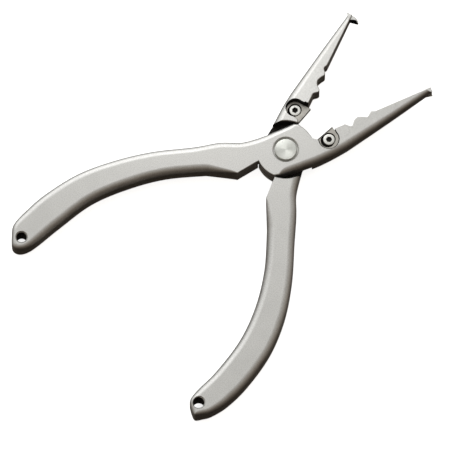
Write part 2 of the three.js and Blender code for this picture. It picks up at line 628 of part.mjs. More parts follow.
const FINISHES = {
  aluminium: { color: 0xc9cac6, roughness: 0.45, metalness: 0.9 },
  stainless: { color: 0xd5d5cd, roughness: 0.28, metalness: 1.0 },
  toolSteel: { color: 0xb9b9b0, roughness: 0.35, metalness: 1.0 },
  bronze: { color: 0xa8793f, roughness: 0.4, metalness: 1.0 },
  polymer: { color: 0xe8e6dc, roughness: 0.5, metalness: 0.0 },
};

function piece(name, geometry, finish) {
  const mesh = new THREE.Mesh(geometry, new THREE.MeshStandardMaterial(FINISHES[finish]));
  mesh.name = name;
  return mesh;
}

const FRONT_PLATE_LOW = SHEAR_HEIGHT + SHEAR_GAP / 2;
const REAR_PLATE_LOW = SHEAR_HEIGHT - SHEAR_GAP / 2 - CUTTER_THICKNESS;

const frontGroup = new THREE.Group();
frontGroup.rotation.z = radians(-OPENING_DEG / 2);
frontGroup.add(
  piece('front_lever', toGeometry(frontLever()), 'aluminium'),
  piece('front_cutter', toGeometry(cutterPlate(FRONT_CUTTER, FRONT, FRONT_PLATE_LOW)), 'toolSteel'),
  piece('front_cutter_screw', screwBody(FRONT_CUTTER, FRONT, FRONT_PLATE_LOW), 'stainless'),
  piece('front_cutter_insert', insertBody(FRONT_CUTTER, FRONT, FRONT_PLATE_LOW), 'stainless'),
);

const rearGroup = new THREE.Group();
rearGroup.rotation.z = radians(OPENING_DEG / 2);
rearGroup.add(
  piece('rear_lever', toGeometry(rearLever()), 'aluminium'),
  piece('rear_cutter', toGeometry(cutterPlate(REAR_CUTTER, REAR, REAR_PLATE_LOW)), 'toolSteel'),
  piece('rear_cutter_screw', screwBody(REAR_CUTTER, REAR, REAR_PLATE_LOW), 'stainless'),
  piece('rear_cutter_insert', insertBody(REAR_CUTTER, REAR, REAR_PLATE_LOW), 'stainless'),
);

const pivotGroup = new THREE.Group();
pivotGroup.add(
  piece('pivot_barrel', pivotBarrel(), 'stainless'),
  piece('pivot_screw', pivotScrew(), 'stainless'),
  piece('front_bush', frontBush(), 'bronze'),
  piece('rear_bush', rearBush(), 'bronze'),
  piece('thrust_washer', thrustWasher(), 'polymer'),
  piece('disc_spring', discSpring(), 'stainless'),
  piece('return_spring', returnSpring(), 'stainless'),
);

const pliers = new THREE.Group();
pliers.add(frontGroup, rearGroup, pivotGroup);

export default pliers;
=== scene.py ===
import math

import bmesh
import bpy
from mathutils import Matrix, Vector


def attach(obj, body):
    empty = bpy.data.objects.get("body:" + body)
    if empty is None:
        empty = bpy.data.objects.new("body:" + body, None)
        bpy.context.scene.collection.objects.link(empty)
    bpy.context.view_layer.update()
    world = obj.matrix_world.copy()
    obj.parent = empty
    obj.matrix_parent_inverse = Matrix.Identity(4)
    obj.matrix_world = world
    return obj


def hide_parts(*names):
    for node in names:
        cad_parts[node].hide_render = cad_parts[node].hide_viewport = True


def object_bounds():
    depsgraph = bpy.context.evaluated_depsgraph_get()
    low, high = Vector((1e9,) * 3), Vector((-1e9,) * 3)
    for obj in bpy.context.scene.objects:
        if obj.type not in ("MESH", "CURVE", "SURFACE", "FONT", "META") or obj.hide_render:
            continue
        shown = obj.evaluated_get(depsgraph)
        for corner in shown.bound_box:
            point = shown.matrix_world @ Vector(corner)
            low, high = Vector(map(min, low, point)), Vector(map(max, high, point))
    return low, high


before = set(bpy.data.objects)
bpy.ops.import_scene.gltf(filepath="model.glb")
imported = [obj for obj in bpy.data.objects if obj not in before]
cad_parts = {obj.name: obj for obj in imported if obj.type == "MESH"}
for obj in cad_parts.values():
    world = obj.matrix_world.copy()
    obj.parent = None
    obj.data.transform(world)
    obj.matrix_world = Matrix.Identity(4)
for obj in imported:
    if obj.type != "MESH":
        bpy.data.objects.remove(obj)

cad_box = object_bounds()

# Sizes are in millimetres and degrees, in the frame's axes. Each lever is drawn closed, with its
# handle at -x and its jaw at +x, then mirrored if it is the rear one, and turned open.
MM = 0.001
OPENING_DEG = 40
THICKNESS = 10
MID = THICKNESS / 2
TIP_THICKNESS = 6
HANDLE_LENGTH = 123.2
JAW_LENGTH = 67.9
HOOK_JAW_LENGTH = 67.3
LAP_GAP = 0.3
JAW_GAP = 0.2
BOSS_RADIUS = 12.6
SHOULDER_RADIUS = 12.9
BOSS_SIDE = 9.7
BOSS_CORNER = 3.5
GRIP_EDGE = 3.5
JAW_EDGE = 3.0
TIP_END_EDGE = 0.4
CRISP_EDGE = 0.35
HANDLE_END_EDGE = 2.0
HANDLE_END_BLEND = 14
JAW_ROOT = 24
JAW_ROOT_WIDTH = {"front": 10.0, "rear": 9.0}
TIP_WIDTH = 2.0
LANYARD_RADIUS = {"front": 2.2, "rear": 2.4}
TEETH = ((29.9, 1.9, 2.4), (33.9, -0.7, 2.2), (37.7, 0.9, 2.0), (40.4, -0.6, 1.6))
HOOK_REACH = 3.8
HOOK_DROP = 2.2
HOOK_WIDTH = 2.2
HOOK_HEIGHT = 5.9
HOOK_SLOT_CLEARANCE = 0.3
HOOK_SLOT_RUN = 1.6
CUTTER_THICKNESS = 2.9
SHEAR_HEIGHT = 6.2
SHEAR_GAP = 0.2
SEAT_GAP = 0.15
POCKET_GAP = 0.3
PIVOT_RADIUS = 4.75
PIVOT_RING_GAP = 0.55
LANYARD_CHAMFER = 0.5
SCREW_HEAD_RADIUS = 2.6
SCREW_HEAD_HEIGHT = 1.5
SCREW_SHANK_RADIUS = 1.45
SCREW_SOCKET_RADIUS = 1.35
SCREW_SOCKET_DEPTH = 1.0
SCREW_SINK = 0.35
SCREW_HEAD_GAP = 0.15
CHIP_RECESS_SHIFT = (0.4, -0.8)
CHIP_RECESS_RIM = 0.35
INSERT_RADIUS = 2.2
INSERT_LENGTH = 2.3
INSERT_GAP = 0.1
CUTTER_BEVEL = 0.8
PIVOT_HEAD_HEIGHT = 1.6
PIVOT_SCREW_HEAD_HEIGHT = 1.3
PIVOT_SCREW_RADIUS = 1.6
PIVOT_SCREW_LENGTH = 4.6
BARREL_RADIUS = 3.0
BARREL_BORE = 1.8
BARREL_FLOOR = 3.0
SPANNER_HOLE_RADIUS = 0.6
SPANNER_HOLE_OFFSET = 2.6
SPANNER_HOLE_DEPTH = 0.8
BUSH_GAP = 0.1
BUSH_OUTER = 3.88
WASHER_OUTER = 4.96
WASHER_RECESS = 0.45
REAR_COUNTERBORE = 2.2
SPRING_RADIUS = 6.7
SPRING_WIRE = 0.9
SPRING_ROOM = 0.25
SPRING_TANG = 1.4
CHAMBER_HALF = 1.88125
CHAMBER_INNER = 6.0
CHAMBER_OUTER = 7.4
LOWER_TANG_DEG = 200
UPPER_TANG_DEG = 1010
EDGE_STEPS = 4
LEVER_STATIONS = (-108, -90, -72, -54, -36, -16, 12, 26, 46)
HOOK_EDGE = 0.45
CUTTER_EDGE = 0.12
POCKET_RIM = 0.25
PIVOT_RIM = 0.4
PIVOT_EDGE = 0.45
SHOULDER_RIM = 0.35
HANDS = {"front": 1, "rear": -1}
CUTTERS = {
    "front": {"screw": (3.4, 18.7), "round": 4.2, "heel": (1.3, 13.9), "toe": (-1.3, 22.3)},
    "rear": {"screw": (4.4, 18.8), "round": 3.8, "heel": (0.6, 14.4), "toe": (-1.4, 22.1)},
}
PLATE_LOW = {"front": SHEAR_HEIGHT + SHEAR_GAP / 2, "rear": SHEAR_HEIGHT - SHEAR_GAP / 2 - CUTTER_THICKNESS}
GRIPS = {
    "front": {
        "outer": ((0.02, -11.2), (0.1, -15.2), (0.2, -18.1), (0.35, -23.6), (0.5, -26.9), (0.65, -28.0),
                  (0.8, -25.6), (0.9, -22.1), (0.96, -18.8)),
        "end": ((0.985, -14.6), (1, -10.4), (0.985, -7.7)),
        "inner": ((0.95, -6.7), (0.9, -7.5), (0.8, -10.5), (0.65, -14.3), (0.5, -14.1), (0.35, -11.4),
                  (0.2, -5.5)),
        "notch_foot": (0.095, 0.9),
        "notch": -0.3,
        "hole": (-12.0, -118.2),
    },
    "rear": {
        "outer": ((0.02, -11.9), (0.1, -16.0), (0.2, -20.3), (0.35, -26.8), (0.5, -31.0), (0.65, -31.9),
                  (0.8, -29.1), (0.9, -25.2), (0.96, -20.9)),
        "end": ((0.985, -17.8), (1, -14.8), (0.98, -12.0)),
        "inner": ((0.95, -10.1), (0.9, -11.0), (0.8, -14.7), (0.65, -17.9), (0.5, -17.5), (0.35, -13.9),
                  (0.2, -7.3)),
        "notch_foot": (0.095, -1.5),
        "notch": -0.8,
        "hole": (-14.0, -117.6),
    },
}
FILLET_STEPS = 8
CURVE_REACH = 2
CURVE_SHARE = 0.8
CURVE_BLEND = 6
RIM_DEPTH = 0.3
SPAN_STEPS = 7


# ---- camera and light ----------------------------------------------------------------------------

CAMERA_AZIMUTH = 45
CAMERA_ELEVATION = 72.2
CAMERA_LENS = 1400
FRAME_WIDTH = 0.19125
PIVOT_OFF_CENTRE = (0.02584, 0.03217)
SOFT_BOX_PLACE = (-0.118, 0.068, 0.20)
SOFT_BOX_SIZE = 0.12
SOFT_BOX_POWER = 0.042


def make_camera():
    azimuth, elevation = math.radians(CAMERA_AZIMUTH), math.radians(CAMERA_ELEVATION)
    back = Vector((math.sin(azimuth) * math.cos(elevation), -math.cos(azimuth) * math.cos(elevation),
                   math.sin(elevation)))
    right = Vector((math.cos(azimuth), math.sin(azimuth), 0))
    up = back.cross(right)
    data = bpy.data.cameras.new("camera")
    data.lens = CAMERA_LENS
    data.clip_start, data.clip_end = 0.1, 40
    camera = bpy.data.objects.new("camera", data)
    bpy.context.collection.objects.link(camera)
    distance = FRAME_WIDTH / 2 / (data.sensor_width / 2 / data.lens)
    target = Vector((0, 0, THICKNESS * MM)) - right * PIVOT_OFF_CENTRE[0] - up * PIVOT_OFF_CENTRE[1]
    camera.rotation_mode = "QUATERNION"
    camera.location = target + back * distance
    camera.rotation_quaternion = (-back).to_track_quat("-Z", "Y")
    bpy.context.scene.camera = camera


def make_view():
    bpy.context.scene.view_settings.view_transform = "Standard"


def make_world():
    """A pale room: bright overhead and to the left, falling to a warm dark at the lower right."""
    world = bpy.data.worlds.new("studio")
    bpy.context.scene.world = world
    world.use_nodes = True
    nodes, links = world.node_tree.nodes, world.node_tree.links
    background = nodes["Background"]
    place = nodes.new("ShaderNodeTexCoord")
    lean = nodes.new("ShaderNodeVectorMath")
    lean.operation = "DOT_PRODUCT"
    lean.inputs[1].default_value = Vector((-0.78, 0.48, 0.42)).normalized()
    share = nodes.new("ShaderNodeMapRange")
    share.inputs["From Min"].default_value = -1
    ramp = nodes.new("ShaderNodeValToRGB")
    stops = ((0.0, (0.030, 0.023, 0.017)), (0.23, (0.095, 0.075, 0.058)), (0.30, (0.14, 0.117, 0.094)),
             (0.474, (0.29, 0.257, 0.218)), (0.65, (0.42, 0.400, 0.370)), (0.83, (0.575, 0.575, 0.562)),
             (0.93, (1.1, 1.1, 1.09)), (1.0, (1.7, 1.7, 1.7)))
    set_ramp(ramp, stops)
    links.new(place.outputs["Generated"], lean.inputs[0])
    links.new(lean.outputs["Value"], share.inputs["Value"])
    links.new(share.outputs["Result"], ramp.inputs["Fac"])
    links.new(ramp.outputs["Color"], background.inputs["Color"])
    rise = nodes.new("ShaderNodeSeparateXYZ")
    below = nodes.new("ShaderNodeMapRange")
    below.inputs["From Min"].default_value = -0.5
    below.inputs["From Max"].default_value = 0.15
    below.inputs["To Min"].default_value = 0.32
    links.new(place.outputs["Generated"], rise.inputs["Vector"])
    links.new(rise.outputs["Z"], below.inputs["Value"])
    links.new(below.outputs["Result"], background.inputs["Strength"])


def set_ramp(ramp, stops):
    band = ramp.color_ramp
    while len(band.elements) > 1:
        band.elements.remove(band.elements[-1])
    band.elements[0].position = stops[0][0]
    band.elements[0].color = (*stops[0][1], 1)
    for position, colour in stops[1:]:
        band.elements.new(position).color = (*colour, 1)


def make_light(name, place, size, energy):
    data = bpy.data.lights.new(name, "AREA")
    data.shape = "DISK"
    data.size = size
    data.energy = energy
    lamp = bpy.data.objects.new(name, data)
    lamp.location = place
    lamp.rotation_mode = "QUATERNION"
    lamp.rotation_quaternion = Vector(place).to_track_quat("Z", "Y")
    bpy.context.collection.objects.link(lamp)


def make_floor():
    board = bmesh.new()
    bmesh.ops.create_grid(board, x_segments=1, y_segments=1, size=3)
    bmesh.ops.translate(board, verts=board.verts, vec=(0, 0, cad_box[0].z - 0.0004))
    mesh = bpy.data.meshes.new("floor")
    board.to_mesh(mesh)
    board.free()
    floor = bpy.data.objects.new("floor", mesh)
    bpy.context.collection.objects.link(floor)
    material = bpy.data.materials.new("pale_floor")
    material.use_nodes = True
    shader = material.node_tree.nodes["Principled BSDF"]
    shader.inputs["Base Color"].default_value = (0.93, 0.93, 0.93, 1)
    shader.inputs["Roughness"].default_value = 0.9
    shader.inputs["Specular IOR Level"].default_value = 0.0
    shader.inputs["Emission Color"].default_value = (1, 1, 1, 1)
    shader.inputs["Emission Strength"].default_value = 0.84
    mesh.materials.append(material)
    floor.visible_glossy = False


# ---- outlines ------------------------------------------------------------------------------------

def spline(knots, steps=SPAN_STEPS):
    """Points along a smooth curve through the knots, the last one included."""
    last = len(knots) - 1
    points = []
    for span in range(last):
        before, start = knots[max(span - 1, 0)], knots[span]
        end, after = knots[span + 1], knots[min(span + 2, last)]
        for step in range(steps):
            share = step / steps
            points.append(tuple(
                0.5 * (2 * b + (c - a) * share + (2 * a - 5 * b + 4 * c - d) * share ** 2
                       + (3 * b - a - 3 * c + d) * share ** 3)
                for a, b, c, d in zip(before, start, end, after)))
    return points + [tuple(knots[last])]


def arc(x, y, radius, start, end, steps):
    angles = (math.radians(start + (end - start) * step / steps) for step in range(steps + 1))
    return [(x + radius * math.cos(angle), y + radius * math.sin(angle)) for angle in angles]


def smoothstep(value, low, high):
    share = min(max((value - low) / (high - low), 0), 1)
    return share * share * (3 - 2 * share)


def stretch(points, start_edge, end_edge=None):
    end_edge = start_edge if end_edge is None else end_edge
    most = max(len(points) - 1, 1)
    return [(x, y, start_edge + (end_edge - start_edge) * index / most) for index, (x, y) in enumerate(points)]


def on_handle(along, x):
    return (x, -(BOSS_RADIUS + along * (HANDLE_LENGTH - BOSS_RADIUS)))


def tooth_lean(y):
    lean = 0
    for middle, reach, half in TEETH:
        away = abs(y - middle) / half
        if away < 1:
            lean += reach * (1 - away * away) ** 2
    return lean


def grip_rim(grip):
    knots = [on_handle(*knot) for knot in (*grip["outer"], *grip["end"], *grip["inner"])]
    foot = on_handle(*grip["notch_foot"])
    side = stretch(spline([(-BOSS_SIDE, -4), *knots]), JAW_EDGE, GRIP_EDGE)
    side = [(x, y, HANDLE_END_EDGE + (edge - HANDLE_END_EDGE)
             * smoothstep(y, -HANDLE_LENGTH, HANDLE_END_BLEND - HANDLE_LENGTH)) for x, y, edge in side]
    inner = stretch(spline([knots[-1], foot], 9)[1:], GRIP_EDGE, CRISP_EDGE)
    notch_run = stretch(spline([foot, (grip["notch"], -BOSS_RADIUS)], 6)[1:], CRISP_EDGE)
    return side + inner + notch_run


def boss_arc_rim(grip):
    start = 270 + math.degrees(math.asin(grip["notch"] / BOSS_RADIUS))
    return stretch(arc(0, 0, BOSS_RADIUS, start, 311, 24)[1:], CRISP_EDGE)


def outer_jaw_rim(root_width, length):
    def along(share):
        return JAW_ROOT + share * (length - JAW_ROOT)
    root = root_width + 0.8
    side = spline([(9.1, -7.4), (BOSS_SIDE + 0.3, -2), (BOSS_SIDE + 0.7, 4), (root, 10), (root - 0.2, 17),
                   (root_width, JAW_ROOT)], 9)
    side = [(x, y, CRISP_EDGE + (JAW_EDGE - CRISP_EDGE) * smoothstep(y, -8.5, -4)) for x, y in side]
    blade = spline([(root_width, JAW_ROOT), ((root_width + TIP_WIDTH) / 2, along(0.5)),
                    (TIP_WIDTH, along(0.96)), (TIP_WIDTH * 0.85, length - 0.7), (TIP_WIDTH * 0.45, length)], 12)
    return side + stretch(blade[1:], JAW_EDGE, TIP_END_EDGE)


def jaw_face_rim(cutter, length, hand):
    start = JAW_ROOT + 1
    middle, _, half = TEETH[-1]
    flat = middle + half
    face = [(JAW_GAP / 2, length - (length - flat) * step / 12) for step in range(12)]
    steps = 84
    for step in range(steps + 1):
        y = flat + (start - flat) * step / steps
        face.append((JAW_GAP / 2 + hand * tooth_lean(y), y))
    face.append((JAW_GAP / 2, cutter["toe"][1] + 1.2))
    face.append((max(cutter["heel"][0], 1.2), cutter["heel"][1]))
    return stretch(face, CRISP_EDGE)


def boss_top_rim():
    corner_x = -BOSS_SIDE + BOSS_CORNER
    corner_y = math.sqrt((BOSS_RADIUS - BOSS_CORNER + 0.1) ** 2 - corner_x ** 2)
    top = spline([(0.2, BOSS_RADIUS), (-4.2, BOSS_RADIUS - 1), (corner_x - 0.9, corner_y + 3.38)], 8)
    corner = arc(corner_x, corner_y, BOSS_CORNER, 105, 180, 14)
    return stretch(top[:-1], 0.6, 1.0) + stretch(corner, 1.0, 2.5)


def eased_to_curve(rim):
    """Keeps each rounding smaller than the curve of the outline that it runs along."""
    eased = []
    count = len(rim)
    for index, (x, y, edge) in enumerate(rim):
        before, after = rim[index - CURVE_REACH], rim[(index + CURVE_REACH) % count]
        first, second = Vector((x - before[0], y - before[1])), Vector((after[0] - x, after[1] - y))
        bend = first.angle(second, 0)
        reach = (first.length + second.length) / 2
        radius = reach / bend if bend > 1e-3 else math.inf
        eased.append(min(edge, max(CURVE_SHARE * radius, CRISP_EDGE)))
    for _ in range(CURVE_BLEND):
        eased = [min(edge, (eased[index - 1] + edge + eased[(index + 1) % count]) / 3)
                 for index, edge in enumerate(eased)]
    return [(x, y, edge) for (x, y, _), edge in zip(rim, eased)]


def lever_rim(kind):
    length = JAW_LENGTH if kind == "front" else HOOK_JAW_LENGTH
    hand = HANDS[kind]
    rim = (grip_rim(GRIPS[kind]) + boss_arc_rim(GRIPS[kind]) + outer_jaw_rim(JAW_ROOT_WIDTH[kind], length)
           + jaw_face_rim(CUTTERS[kind], length, hand) + boss_top_rim())
    return eased_to_curve([(x * hand, y, edge) for x, y, edge in rim])


def cutter_outline(kind, grow=0.0):
    cutter, hand = CUTTERS[kind], HANDS[kind]
    heel, toe = Vector(cutter["heel"]), Vector(cutter["toe"])
    run = (toe - heel).normalized()
    heel = (heel.x - run.x * grow - run.y * grow, heel.y - run.y * grow)
    toe = (toe.x + run.x * grow - run.y * grow, toe.y + run.y * grow + grow / 2)
    back = arc(*cutter["screw"], cutter["round"] + grow, -105, 105, 40)
    return [(x * hand, y) for x, y in (heel, *back, toe)]


def relief_outline(kind):
    """The space that the other jaw's cutter sweeps into, in this lever."""
    other, hand = CUTTERS["rear" if kind == "front" else "front"], HANDS[kind]
    room = POCKET_GAP + JAW_GAP
    (heel_x, heel_y), (toe_x, toe_y) = other["heel"], other["toe"]
    corners = [(-heel_x - room, heel_y - room), (-heel_x + room, heel_y - room), (-toe_x + room, toe_y),
               (-toe_x + room, toe_y + room + 0.3), (-heel_x - room, toe_y + room + 0.3)]
    return [(x * hand, y) for x, y in corners]


# ---- mesh helpers --------------------------------------------------------------------------------

def raised(rings):
    """A closed body carried through equally long rings of points, with a cap at both ends."""
    shape = bmesh.new()
    order = shape.verts.layers.int.new("order")
    front = [shape.verts.new(point) for point in rings[0]]
    for number, vert in enumerate(front):
        vert[order] = number
    shape.faces.new(front)
    edges = [shape.edges.get(pair) for pair in zip(front, front[1:] + front[:1])]
    for ring in rings[1:]:
        made = bmesh.ops.extrude_edge_only(shape, edges=edges)["geom"]
        corners = (part for part in made if isinstance(part, bmesh.types.BMVert))
        front = sorted(corners, key=lambda vert: vert[order])
        for vert, point in zip(front, ring):
            vert.co = point
        edges = [shape.edges.get(pair) for pair in zip(front, front[1:] + front[:1])]
    shape.faces.new(front)
    shape.verts.layers.int.remove(order)
    bmesh.ops.recalc_face_normals(shape, faces=shape.faces)
    return shape


def prism(outline, levels):
    """An outline carried through (height, growth) levels."""
    outward = outward_of(outline)
    return raised([[(x + out.x * grow, y + out.y * grow, height) for (x, y), out in zip(outline, outward)]
                   for height, grow in levels])


def eased_prism(outline, low, high, edge):
    """A prism whose two rims are rounded over."""
    levels = []
    for side, height in ((-1, low), (1, high)):
        steps = range(EDGE_STEPS, -1, -1) if side < 0 else range(EDGE_STEPS + 1)
        for step in steps:
            swing = math.pi / 2 * step / EDGE_STEPS
            levels.append((height - side * edge * (1 - math.sin(swing)), -edge * (1 - math.cos(swing))))
    return prism(outline, levels)


def spun(profile, x=0.0, y=0.0, steps=96):
    """A solid turned about an upright axis from (radius, height) corners, from axis to axis or as a ring."""
    shape = bmesh.new()
    verts = [shape.verts.new((radius, 0, height)) for radius, height in profile]
    edges = [shape.edges.new(pair) for pair in zip(verts, verts[1:])]
    if profile[0][0] > 0:
        edges.append(shape.edges.new((verts[-1], verts[0])))
    bmesh.ops.spin(shape, geom=verts + edges, axis=(0, 0, 1), cent=(0, 0, 0), angle=2 * math.pi, steps=steps,
                   use_merge=True)
    bmesh.ops.remove_doubles(shape, verts=shape.verts, dist=1e-4)
    bmesh.ops.recalc_face_normals(shape, faces=shape.faces)
    bmesh.ops.translate(shape, verts=shape.verts, vec=(x, y, 0))
    return shape


def rod(radius, low, high, x=0.0, y=0.0, steps=64):
    return spun([(0, low), (radius, low), (radius, high), (0, high)], x, y, steps)


def flared_rod(radius, low, high, rim, flare, x=0.0, y=0.0, steps=96):
    """A rod that opens out by the flare where it meets the face at height rim, above or below."""
    if high > rim > low and high - rim <= rim - low:
        profile = [(0, low), (radius, low), (radius, rim - flare), (radius + flare, rim),
                   (radius + flare, high), (0, high)]
    else:
        profile = [(0, low), (radius + flare, low), (radius + flare, rim), (radius, rim + flare),
                   (radius, high), (0, high)]
    return spun(profile, x, y, steps)


def ring(inner, outer, low, high):
    return spun([(inner, low), (outer, low), (outer, high), (inner, high)])


def block(low, high):
    shape = bmesh.new()
    bmesh.ops.create_cube(shape, size=1)
    bmesh.ops.scale(shape, verts=shape.verts, vec=[b - a for a, b in zip(low, high)])
    bmesh.ops.translate(shape, verts=shape.verts, vec=[(a + b) / 2 for a, b in zip(low, high)])
    return shape


def as_object(name, shape):
    mesh = bpy.data.meshes.new(name)
    shape.to_mesh(mesh)
    shape.free()
    made = bpy.data.objects.new(name, mesh)
    bpy.context.collection.objects.link(made)
    return made


def settle(target):
    """Replaces an object's mesh by what its modifiers make of it."""
    graph = bpy.context.evaluated_depsgraph_get()
    mesh = bpy.data.meshes.new_from_object(target.evaluated_get(graph))
    target.modifiers.clear()
    old = target.data
    target.data = mesh
    bpy.data.meshes.remove(old)
    mesh.name = target.name


def combine(target, shapes, operation, outer=None):
    """Joins or cuts shapes one by one. With an outer material, what a cut uncovers further in is painted near
    black as shade.
    """
    for index, shape in enumerate(shapes):
        tool = as_object(f"tool_{index}", shape)
        step = target.modifiers.new(f"step_{index}", "BOOLEAN")
        step.operation = operation
        step.solver = "EXACT"
        step.object = tool
        if outer:
            top = max(corner.co.z for corner in target.data.vertices)
            tool.data.materials.append(outer)
            tool.data.materials.append(recess_shade_paint)
            # faces deeper than the rims take the painted shade; faces at the rims keep the outer material
            for face in tool.data.polygons:
                face.material_index = int(RIM_DEPTH < face.center.z < top - RIM_DEPTH)
            step.material_mode = "TRANSFER"
        settle(target)
        bpy.data.objects.remove(tool)


def close_up(target):
    """Merges stray doubles and turns every face outwards."""
    shape = bmesh.new()
    shape.from_mesh(target.data)
    bmesh.ops.remove_doubles(shape, verts=shape.verts, dist=2e-4)
    bmesh.ops.dissolve_degenerate(shape, edges=shape.edges, dist=2e-4)
    bmesh.ops.recalc_face_normals(shape, faces=shape.faces)
    shape.to_mesh(target.data)
    shape.free()


def put_in_place(target, turn_deg, sharp_deg=32):
    """Brings a shape drawn in millimetres into the frame and shades it smooth between its creases."""
    close_up(target)
    target.data.transform(Matrix.Scale(MM, 4) @ Matrix.Rotation(math.radians(turn_deg), 4, "Z"))
    target.data.shade_smooth()
    target.data.set_sharp_from_angle(angle=math.radians(sharp_deg))
    weighted = target.modifiers.new("flat_faces", "WEIGHTED_NORMAL")
    weighted.keep_sharp = True
    weighted.weight = 80
    settle(target)


def fit(target, material, body, node):
    if not target.data.materials:
        target.data.materials.append(material)
    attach(target, body)
    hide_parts(node)


# ---- levers --------------------------------------------------------------------------------------

def outward_of(points):
    """The outward direction at each point of a closed outline."""
    after = points[1:] + points[:1]
    area = sum(a[0] * b[1] - b[0] * a[1] for a, b in zip(points, after))
    sign = 1 if area > 0 else -1
    outward = []
    for before, here, then in zip(points[-1:] + points[:-1], points, after):
        first = Vector((here[0] - before[0], here[1] - before[1])).normalized()
        second = Vector((then[0] - here[0], then[1] - here[1])).normalized()
        run = (first + second).normalized()
        outward.append(Vector((run.y * sign, -run.x * sign)))
    return outward


def half_thickness(y):
    along = min(max((y - JAW_ROOT / 2) / (JAW_LENGTH - JAW_ROOT / 2), 0), 1)
    return MID - (THICKNESS - TIP_THICKNESS) / 2 * along


def lever_blank(kind):
    """The lever's outline at full thickness with rounded edges, before anything is cut into it."""
    rim = lever_rim(kind)
    outward = outward_of([(x, y) for x, y, _ in rim])
    rings = []
    for side in (-1, 1):
        steps = range(FILLET_STEPS, -1, -1) if side < 0 else range(FILLET_STEPS + 1)
        for step in steps:
            swing = math.pi / 2 * step / FILLET_STEPS
            rings.append([
                (x - out.x * edge * (1 - math.cos(swing)), y - out.y * edge * (1 - math.cos(swing)),
                 MID + side * (half_thickness(y) - edge * (1 - math.sin(swing))))
                for (x, y, edge), out in zip(rim, outward)])
    shape = raised(rings)
    for station in LEVER_STATIONS:
        bmesh.ops.bisect_plane(shape, geom=[*shape.verts, *shape.edges, *shape.faces], plane_co=(0, station, 0),
                               plane_no=(0, 1, 0), dist=1e-5)
    return shape


def hook_shape():
    """The split-ring hook: a short curved claw across the end of the rear jaw."""
    end, foot = HOOK_JAW_LENGTH, HOOK_JAW_LENGTH - HOOK_DROP
    back = spline([(TIP_WIDTH * 0.5, foot - 1), (TIP_WIDTH * 0.5, end - 0.9), (0.5, end - 0.15),
                   (-0.8, end - 0.1), (-2.3, end - 0.6), (-3.4, foot + 0.75), (-HOOK_REACH, foot + 0.1)], 6)
    belly = spline([(-HOOK_REACH + 0.5, foot - 0.1), (-2.4, foot + 0.4), (-1.2, foot + 0.2),
                    (-0.35, foot - 0.25), (0.2, foot - 1)], 6)
    outline = [(-x, y) for x, y in (*back, *belly)]
    return eased_prism(outline, HOOK_HEIGHT - HOOK_WIDTH / 2, HOOK_HEIGHT + HOOK_WIDTH / 2, HOOK_EDGE)


def lanyard_hole(kind):
    x, y = GRIPS[kind]["hole"]
    radius, flare = LANYARD_RADIUS[kind], LANYARD_CHAMFER
    profile = [(0, -1), (radius + flare, -1), (radius + flare, 0), (radius, flare), (radius, THICKNESS - flare),
               (radius + flare, THICKNESS), (radius + flare, THICKNESS + 1), (0, THICKNESS + 1)]
    return spun(profile, x * HANDS[kind], y, 64)


def tang_hole(degrees, low, high):
    angle = math.radians(degrees)
    return rod(SPRING_WIRE / 2 + SPRING_ROOM, low, high, SPRING_RADIUS * math.cos(angle),
               SPRING_RADIUS * math.sin(angle), 32)


def pocket(kind, floor):
    """The seat of a cutter, open at the front face with a broken rim."""
    return prism(cutter_outline(kind, POCKET_GAP),
                 ((floor, 0), (THICKNESS - POCKET_RIM, 0),
                  (THICKNESS, POCKET_RIM), (THICKNESS + 1, POCKET_RIM)))


def screw_seat(kind, floor):
    x, y = CUTTERS[kind]["screw"]
    low = floor - INSERT_LENGTH - INSERT_GAP
    return rod(INSERT_RADIUS + INSERT_GAP, low, floor + 0.5, x * HANDS[kind], y, 48)


def front_lever():
    lever = as_object("front_lever_form", lever_blank("front"))
    lever.data.materials.append(aluminium)
    floor, lap = PLATE_LOW["front"] - SEAT_GAP, MID + LAP_GAP / 2
    seat = THICKNESS - PIVOT_HEAD_HEIGHT - SEAT_GAP
    slot_half, slot_foot = HOOK_WIDTH / 2 + HOOK_SLOT_CLEARANCE, HOOK_JAW_LENGTH - HOOK_DROP - HOOK_SLOT_RUN
    ring_radius = PIVOT_RADIUS + PIVOT_RING_GAP
    combine(lever, (flared_rod(ring_radius, seat, THICKNESS + 1, THICKNESS, PIVOT_RIM, steps=128),),
            "DIFFERENCE")
    combine(lever, (
        flared_rod(SHOULDER_RADIUS, -1, lap, 0, SHOULDER_RIM, steps=192),
        rod(BUSH_OUTER + BUSH_GAP, lap - 1, seat + 1),
        ring(CHAMBER_INNER, CHAMBER_OUTER, lap - 1, MID + CHAMBER_HALF),
        rod(WASHER_OUTER + BUSH_GAP, lap - 1, MID + WASHER_RECESS),
        tang_hole(UPPER_TANG_DEG + OPENING_DEG / 2, lap, MID + CHAMBER_HALF + SPRING_TANG),
        pocket("front", floor),
        prism(relief_outline("front"), ((PLATE_LOW["rear"] - POCKET_GAP, 0), (floor + 0.01, 0))),
        screw_seat("front", floor),
        block((-6, slot_foot, HOOK_HEIGHT - slot_half), (6, JAW_LENGTH + 1, HOOK_HEIGHT + slot_half)),
        lanyard_hole("front"),
    ), "DIFFERENCE", aluminium)
    put_in_place(lever, -OPENING_DEG / 2)
    return lever


